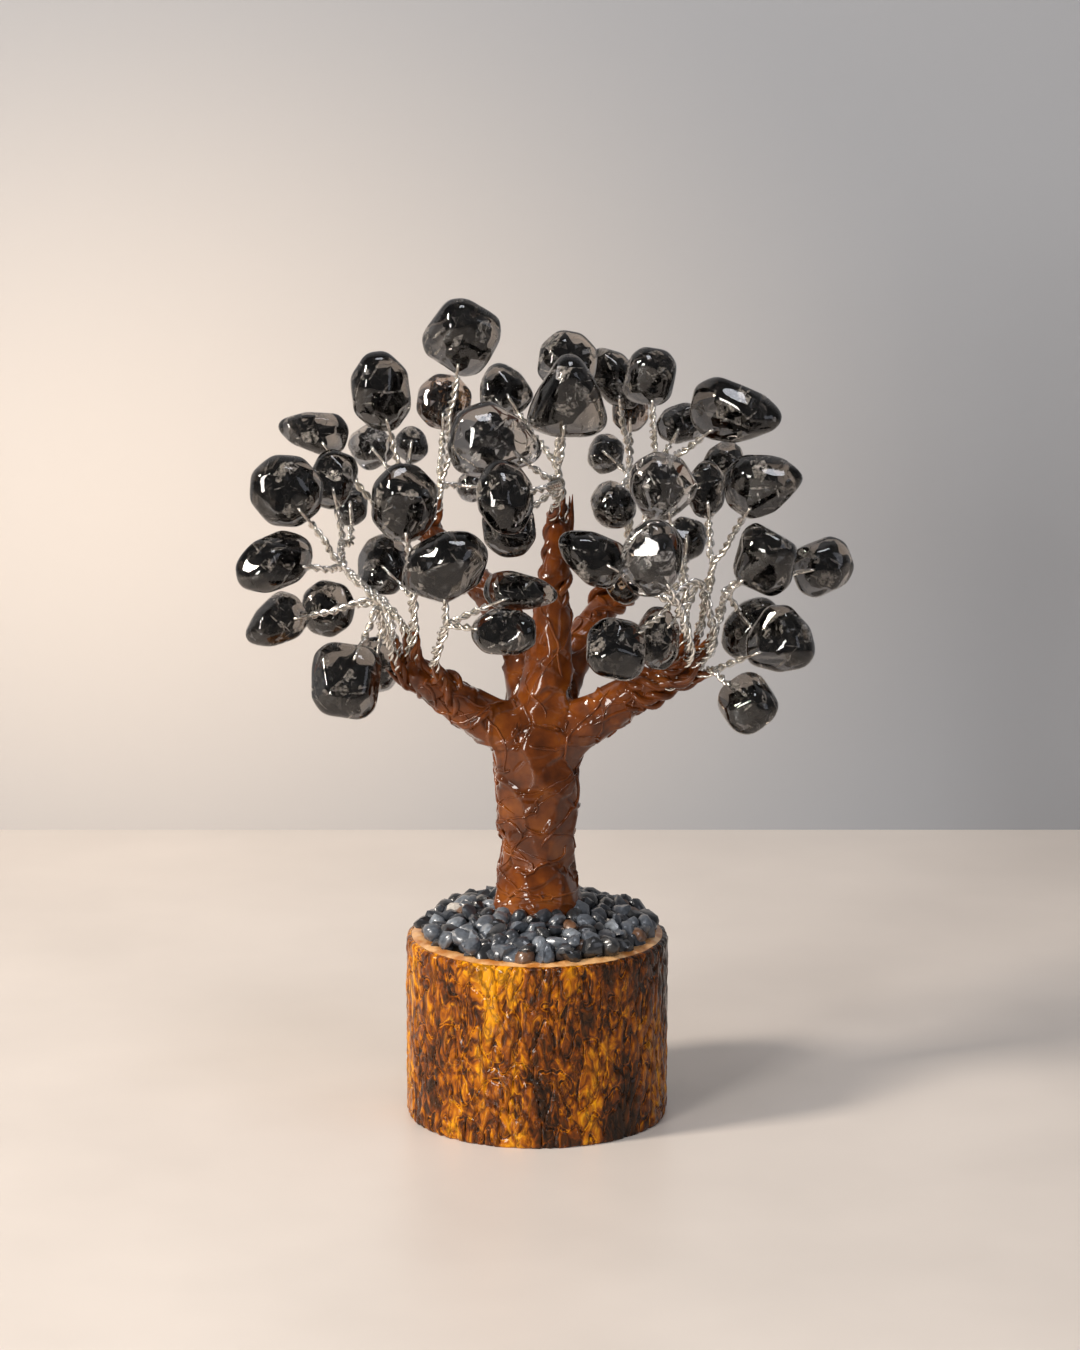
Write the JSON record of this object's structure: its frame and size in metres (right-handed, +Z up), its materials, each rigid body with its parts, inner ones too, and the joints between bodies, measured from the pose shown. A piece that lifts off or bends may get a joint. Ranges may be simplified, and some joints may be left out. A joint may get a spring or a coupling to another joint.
{
  "type": "gemstone tree ornament",
  "caption": "Gemstone tree: tumbled smoky quartz stones hang on twisted silver wires from a lacquered wrapped trunk, set in gravel on a short bark-covered log.",
  "frame": {"origin": "centre of the log's sawn underside, on the surface that the ornament stands on", "axes": "+Z up along the log and trunk, +X to the right as seen from the front, +Y away from the viewer"},
  "size_m": [0.1286, 0.0831, 0.1737],
  "materials": {
    "smoky_quartz": "tumbled and polished, glossy, dark translucent",
    "pale_quartz": "tumbled and polished, glossy, clear grey with fractures",
    "brown_quartz": "tumbled and polished, glossy, brown translucent",
    "silver_wire": "bright drawn craft wire, twisted in pairs",
    "core_wire": "drawn craft wire, bundled",
    "lacquered_wrap": "reddish-brown wound tape under thick gloss lacquer",
    "lacquered_bark": "furrowed bark under glossy amber lacquer",
    "sawn_wood": "sawn and sealed branch wood",
    "dark_glue": "set craft glue, nearly hidden",
    "slate_gravel": "crushed dark slate chips, slightly wet from glue"
  },
  "bodies": {
    "tree": {"glue_bed": "dark_glue", "gravel_chips": "slate_gravel", "log_bark": "lacquered_bark", "log_core": "sawn_wood", "trunk_core_wires": "core_wire", "trunk_wrap": "lacquered_wrap", "wires_back_left": "silver_wire", "wires_back_right": "silver_wire", "wires_leader": "silver_wire", "wires_left": "silver_wire", "wires_right": "silver_wire"},
    "stone_back_left_mid_a": {"stone_back_left_mid_a": "smoky_quartz"},
    "stone_back_left_mid_b": {"stone_back_left_mid_b": "pale_quartz"},
    "stone_back_left_mid_c": {"stone_back_left_mid_c": "smoky_quartz"},
    "stone_back_left_out_a": {"stone_back_left_out_a": "smoky_quartz"},
    "stone_back_left_top_a": {"stone_back_left_top_a": "smoky_quartz"},
    "stone_back_left_top_b": {"stone_back_left_top_b": "brown_quartz"},
    "stone_back_left_top_c": {"stone_back_left_top_c": "pale_quartz"},
    "stone_back_right_mid_a": {"stone_back_right_mid_a": "smoky_quartz"},
    "stone_back_right_mid_b": {"stone_back_right_mid_b": "smoky_quartz"},
    "stone_back_right_mid_c": {"stone_back_right_mid_c": "smoky_quartz"},
    "stone_back_right_out_a": {"stone_back_right_out_a": "smoky_quartz"},
    "stone_back_right_top_a": {"stone_back_right_top_a": "smoky_quartz"},
    "stone_back_right_top_b": {"stone_back_right_top_b": "brown_quartz"},
    "stone_back_right_top_c": {"stone_back_right_top_c": "smoky_quartz"},
    "stone_back_right_top_d": {"stone_back_right_top_d": "smoky_quartz"},
    "stone_leader_side_a": {"stone_leader_side_a": "pale_quartz"},
    "stone_leader_side_b": {"stone_leader_side_b": "smoky_quartz"},
    "stone_leader_side_c": {"stone_leader_side_c": "smoky_quartz"},
    "stone_leader_top_a": {"stone_leader_top_a": "smoky_quartz"},
    "stone_leader_top_b": {"stone_leader_top_b": "smoky_quartz"},
    "stone_leader_top_c": {"stone_leader_top_c": "smoky_quartz"},
    "stone_left_front_a": {"stone_left_front_a": "smoky_quartz"},
    "stone_left_front_b": {"stone_left_front_b": "smoky_quartz"},
    "stone_left_front_c": {"stone_left_front_c": "smoky_quartz"},
    "stone_left_hang_a": {"stone_left_hang_a": "smoky_quartz"},
    "stone_left_low_a": {"stone_left_low_a": "smoky_quartz"},
    "stone_left_low_b": {"stone_left_low_b": "smoky_quartz"},
    "stone_left_low_c": {"stone_left_low_c": "smoky_quartz"},
    "stone_left_out_a": {"stone_left_out_a": "smoky_quartz"},
    "stone_left_out_b": {"stone_left_out_b": "smoky_quartz"},
    "stone_left_out_c": {"stone_left_out_c": "smoky_quartz"},
    "stone_left_out_d": {"stone_left_out_d": "smoky_quartz"},
    "stone_left_up_a": {"stone_left_up_a": "smoky_quartz"},
    "stone_left_up_b": {"stone_left_up_b": "smoky_quartz"},
    "stone_right_front_a": {"stone_right_front_a": "smoky_quartz"},
    "stone_right_front_b": {"stone_right_front_b": "smoky_quartz"},
    "stone_right_in_a": {"stone_right_in_a": "smoky_quartz"},
    "stone_right_in_b": {"stone_right_in_b": "pale_quartz"},
    "stone_right_low_a": {"stone_right_low_a": "smoky_quartz"},
    "stone_right_low_b": {"stone_right_low_b": "smoky_quartz"},
    "stone_right_out_a": {"stone_right_out_a": "smoky_quartz"},
    "stone_right_out_b": {"stone_right_out_b": "smoky_quartz"},
    "stone_right_out_c": {"stone_right_out_c": "smoky_quartz"},
    "stone_right_tall_a": {"stone_right_tall_a": "pale_quartz"},
    "stone_right_tall_b": {"stone_right_tall_b": "smoky_quartz"},
    "stone_right_tall_c": {"stone_right_tall_c": "brown_quartz"},
    "stone_right_up_a": {"stone_right_up_a": "smoky_quartz"},
    "stone_right_up_b": {"stone_right_up_b": "smoky_quartz"}
  },
  "joints": [
    {"name": "rock_back_left_mid_a", "type": "hinge", "parent": "tree", "child": "stone_back_left_mid_a", "pos_m": [-0.03166, 0.01084, 0.14861], "axis": [0.0783, -0.9835, -0.1628], "range_deg": [-8, 8]},
    {"name": "rock_back_left_mid_b", "type": "hinge", "parent": "tree", "child": "stone_back_left_mid_b", "pos_m": [-0.03394, 0.02457, 0.13757], "axis": [-0.3035, -0.7825, 0.5437], "range_deg": [-8, 8]},
    {"name": "rock_back_left_mid_c", "type": "hinge", "parent": "tree", "child": "stone_back_left_mid_c", "pos_m": [-0.02708, 0.0323, 0.13652], "axis": [0.0974, -0.5605, 0.8224], "range_deg": [-8, 8]},
    {"name": "rock_back_left_out_a", "type": "hinge", "parent": "tree", "child": "stone_back_left_out_a", "pos_m": [-0.04521, 0.01966, 0.14069], "axis": [0.0267, -0.9866, 0.1608], "range_deg": [-8, 8]},
    {"name": "rock_back_left_top_a", "type": "hinge", "parent": "tree", "child": "stone_back_left_top_a", "pos_m": [-0.01603, 0.0094, 0.16064], "axis": [-0.0798, -0.9517, -0.2966], "range_deg": [-8, 8]},
    {"name": "rock_back_left_top_b", "type": "hinge", "parent": "tree", "child": "stone_back_left_top_b", "pos_m": [-0.01995, 0.02907, 0.14486], "axis": [0.0044, -0.9515, 0.3076], "range_deg": [-8, 8]},
    {"name": "rock_back_left_top_c", "type": "hinge", "parent": "tree", "child": "stone_back_left_top_c", "pos_m": [-0.01496, 0.03314, 0.12903], "axis": [0.7069, -0.6973, 0.1183], "range_deg": [-8, 8]},
    {"name": "rock_back_right_mid_a", "type": "hinge", "parent": "tree", "child": "stone_back_right_mid_a", "pos_m": [0.02386, 0.01039, 0.15351], "axis": [0.0344, -0.9315, -0.3622], "range_deg": [-8, 8]},
    {"name": "rock_back_right_mid_b", "type": "hinge", "parent": "tree", "child": "stone_back_right_mid_b", "pos_m": [0.038, 0.01014, 0.14623], "axis": [-0.4102, -0.901, -0.1409], "range_deg": [-8, 8]},
    {"name": "rock_back_right_mid_c", "type": "hinge", "parent": "tree", "child": "stone_back_right_mid_c", "pos_m": [0.02965, 0.02704, 0.14171], "axis": [0.1218, -0.9062, 0.405], "range_deg": [-8, 8]},
    {"name": "rock_back_right_out_a", "type": "hinge", "parent": "tree", "child": "stone_back_right_out_a", "pos_m": [0.03821, 0.01987, 0.13139], "axis": [-0.0363, -0.9982, 0.0473], "range_deg": [-8, 8]},
    {"name": "rock_back_right_top_a", "type": "hinge", "parent": "tree", "child": "stone_back_right_top_a", "pos_m": [0.01713, 0.02212, 0.15089], "axis": [0.0361, -0.9988, -0.0335], "range_deg": [-8, 8]},
    {"name": "rock_back_right_top_b", "type": "hinge", "parent": "tree", "child": "stone_back_right_top_b", "pos_m": [0.01984, 0.02924, 0.14386], "axis": [0, -0.9193, 0.3936], "range_deg": [-8, 8]},
    {"name": "rock_back_right_top_c", "type": "hinge", "parent": "tree", "child": "stone_back_right_top_c", "pos_m": [0.01577, 0.03448, 0.13495], "axis": [-0.5388, -0.6067, 0.5844], "range_deg": [-8, 8]},
    {"name": "rock_back_right_top_d", "type": "hinge", "parent": "tree", "child": "stone_back_right_top_d", "pos_m": [0.01684, 0.01197, 0.1304], "axis": [0.3479, -0.5767, 0.7392], "range_deg": [-8, 8]},
    {"name": "rock_leader_side_a", "type": "hinge", "parent": "tree", "child": "stone_leader_side_a", "pos_m": [-0.00484, -0.01444, 0.14417], "axis": [0.3606, -0.93, -0.0712], "range_deg": [-8, 8]},
    {"name": "rock_leader_side_b", "type": "hinge", "parent": "tree", "child": "stone_leader_side_b", "pos_m": [-0.00428, -0.02777, 0.13815], "axis": [0.6885, -0.6633, 0.2932], "range_deg": [-8, 8]},
    {"name": "rock_leader_side_c", "type": "hinge", "parent": "tree", "child": "stone_leader_side_c", "pos_m": [-0.00344, -0.01055, 0.13024], "axis": [0.0748, -0.9652, 0.2504], "range_deg": [-8, 8]},
    {"name": "rock_leader_top_a", "type": "hinge", "parent": "tree", "child": "stone_leader_top_a", "pos_m": [0.00588, -0.00142, 0.14979], "axis": [-0.0551, -0.9592, -0.2773], "range_deg": [-8, 8]},
    {"name": "rock_leader_top_b", "type": "hinge", "parent": "tree", "child": "stone_leader_top_b", "pos_m": [0.00613, 0.00929, 0.15629], "axis": [0.0022, -0.9762, 0.2168], "range_deg": [-8, 8]},
    {"name": "rock_leader_top_c", "type": "hinge", "parent": "tree", "child": "stone_leader_top_c", "pos_m": [-0.00546, 0.01649, 0.15017], "axis": [-0.1879, -0.8659, 0.4636], "range_deg": [-8, 8]},
    {"name": "rock_left_front_a", "type": "hinge", "parent": "tree", "child": "stone_left_front_a", "pos_m": [-0.01856, -0.03008, 0.12035], "axis": [0, -0.8953, -0.4454], "range_deg": [-8, 8]},
    {"name": "rock_left_front_b", "type": "hinge", "parent": "tree", "child": "stone_left_front_b", "pos_m": [-0.00639, -0.02038, 0.11534], "axis": [0.0335, -0.9782, 0.2047], "range_deg": [-8, 8]},
    {"name": "rock_left_front_c", "type": "hinge", "parent": "tree", "child": "stone_left_front_c", "pos_m": [-0.00972, -0.03159, 0.11114], "axis": [-0.5753, -0.7868, 0.2236], "range_deg": [-8, 8]},
    {"name": "rock_left_hang_a", "type": "hinge", "parent": "tree", "child": "stone_left_hang_a", "pos_m": [-0.03732, -0.02457, 0.10308], "axis": [0.0677, -0.939, 0.3371], "range_deg": [-8, 8]},
    {"name": "rock_left_low_a", "type": "hinge", "parent": "tree", "child": "stone_left_low_a", "pos_m": [-0.05088, -0.00313, 0.1075], "axis": [0.2046, -0.9528, 0.2241], "range_deg": [-8, 8]},
    {"name": "rock_left_low_b", "type": "hinge", "parent": "tree", "child": "stone_left_low_b", "pos_m": [-0.04125, 0.00869, 0.10762], "axis": [-0.4276, -0.896, 0.12], "range_deg": [-8, 8]},
    {"name": "rock_left_low_c", "type": "hinge", "parent": "tree", "child": "stone_left_low_c", "pos_m": [-0.03353, 0.0073, 0.09818], "axis": [-0.0579, -0.9729, -0.224], "range_deg": [-8, 8]},
    {"name": "rock_left_out_a", "type": "hinge", "parent": "tree", "child": "stone_left_out_a", "pos_m": [-0.04946, -0.00383, 0.13148], "axis": [0.1179, -0.9924, 0.034], "range_deg": [-8, 8]},
    {"name": "rock_left_out_b", "type": "hinge", "parent": "tree", "child": "stone_left_out_b", "pos_m": [-0.04228, 0.00769, 0.1319], "axis": [-0.0561, -0.8853, 0.4615], "range_deg": [-8, 8]},
    {"name": "rock_left_out_c", "type": "hinge", "parent": "tree", "child": "stone_left_out_c", "pos_m": [-0.05046, -0.01374, 0.12116], "axis": [0.5768, -0.8141, 0.0674], "range_deg": [-8, 8]},
    {"name": "rock_left_out_d", "type": "hinge", "parent": "tree", "child": "stone_left_out_d", "pos_m": [-0.0396, 0.02514, 0.12451], "axis": [-0.0318, -0.5593, 0.8283], "range_deg": [-8, 8]},
    {"name": "rock_left_up_a", "type": "hinge", "parent": "tree", "child": "stone_left_up_a", "pos_m": [-0.02663, -0.02057, 0.1313], "axis": [0.0317, -0.9484, -0.3156], "range_deg": [-8, 8]},
    {"name": "rock_left_up_b", "type": "hinge", "parent": "tree", "child": "stone_left_up_b", "pos_m": [-0.03077, 0.0131, 0.1137], "axis": [-0.5072, -0.6001, 0.6186], "range_deg": [-8, 8]},
    {"name": "rock_right_front_a", "type": "hinge", "parent": "tree", "child": "stone_right_front_a", "pos_m": [0.01852, -0.03164, 0.10916], "axis": [0.4593, -0.7529, 0.4713], "range_deg": [-8, 8]},
    {"name": "rock_right_front_b", "type": "hinge", "parent": "tree", "child": "stone_right_front_b", "pos_m": [0.02663, -0.01533, 0.10806], "axis": [0.0734, -0.9586, 0.2753], "range_deg": [-8, 8]},
    {"name": "rock_right_in_a", "type": "hinge", "parent": "tree", "child": "stone_right_in_a", "pos_m": [0.01426, -0.0242, 0.12309], "axis": [0.0405, -0.9851, 0.1674], "range_deg": [-8, 8]},
    {"name": "rock_right_in_b", "type": "hinge", "parent": "tree", "child": "stone_right_in_b", "pos_m": [0.0246, -0.034, 0.12364], "axis": [0.3224, -0.8614, -0.3924], "range_deg": [-8, 8]},
    {"name": "rock_right_low_a", "type": "hinge", "parent": "tree", "child": "stone_right_low_a", "pos_m": [0.04682, -0.01522, 0.10359], "axis": [-0.2406, -0.9668, 0.0864], "range_deg": [-8, 8]},
    {"name": "rock_right_low_b", "type": "hinge", "parent": "tree", "child": "stone_right_low_b", "pos_m": [0.04127, -0.02461, 0.09601], "axis": [-0.4918, -0.5972, 0.6336], "range_deg": [-8, 8]},
    {"name": "rock_right_out_a", "type": "hinge", "parent": "tree", "child": "stone_right_out_a", "pos_m": [0.04417, -0.01641, 0.12054], "axis": [-0.4743, -0.8351, -0.2787], "range_deg": [-8, 8]},
    {"name": "rock_right_out_b", "type": "hinge", "parent": "tree", "child": "stone_right_out_b", "pos_m": [0.05642, -0.00099, 0.1173], "axis": [0.2494, -0.9364, 0.247], "range_deg": [-8, 8]},
    {"name": "rock_right_out_c", "type": "hinge", "parent": "tree", "child": "stone_right_out_c", "pos_m": [0.04359, 0.00062, 0.10637], "axis": [0.3941, -0.8439, -0.3639], "range_deg": [-8, 8]},
    {"name": "rock_right_tall_a", "type": "hinge", "parent": "tree", "child": "stone_right_tall_a", "pos_m": [0.02646, -0.01688, 0.13419], "axis": [0.1024, -0.962, -0.2531], "range_deg": [-8, 8]},
    {"name": "rock_right_tall_b", "type": "hinge", "parent": "tree", "child": "stone_right_tall_b", "pos_m": [0.03126, 0.00795, 0.12069], "axis": [0.0394, -0.5732, 0.8184], "range_deg": [-8, 8]},
    {"name": "rock_right_tall_c", "type": "hinge", "parent": "tree", "child": "stone_right_tall_c", "pos_m": [0.01966, -0.00623, 0.11522], "axis": [-0.1052, -0.9736, 0.2028], "range_deg": [-8, 8]},
    {"name": "rock_right_up_a", "type": "hinge", "parent": "tree", "child": "stone_right_up_a", "pos_m": [0.04459, -0.01001, 0.13384], "axis": [-0.2162, -0.96, -0.178], "range_deg": [-8, 8]},
    {"name": "rock_right_up_b", "type": "hinge", "parent": "tree", "child": "stone_right_up_b", "pos_m": [0.03545, 0.00113, 0.13091], "axis": [-0.0074, -0.96, 0.2799], "range_deg": [-8, 8]}
  ]
}
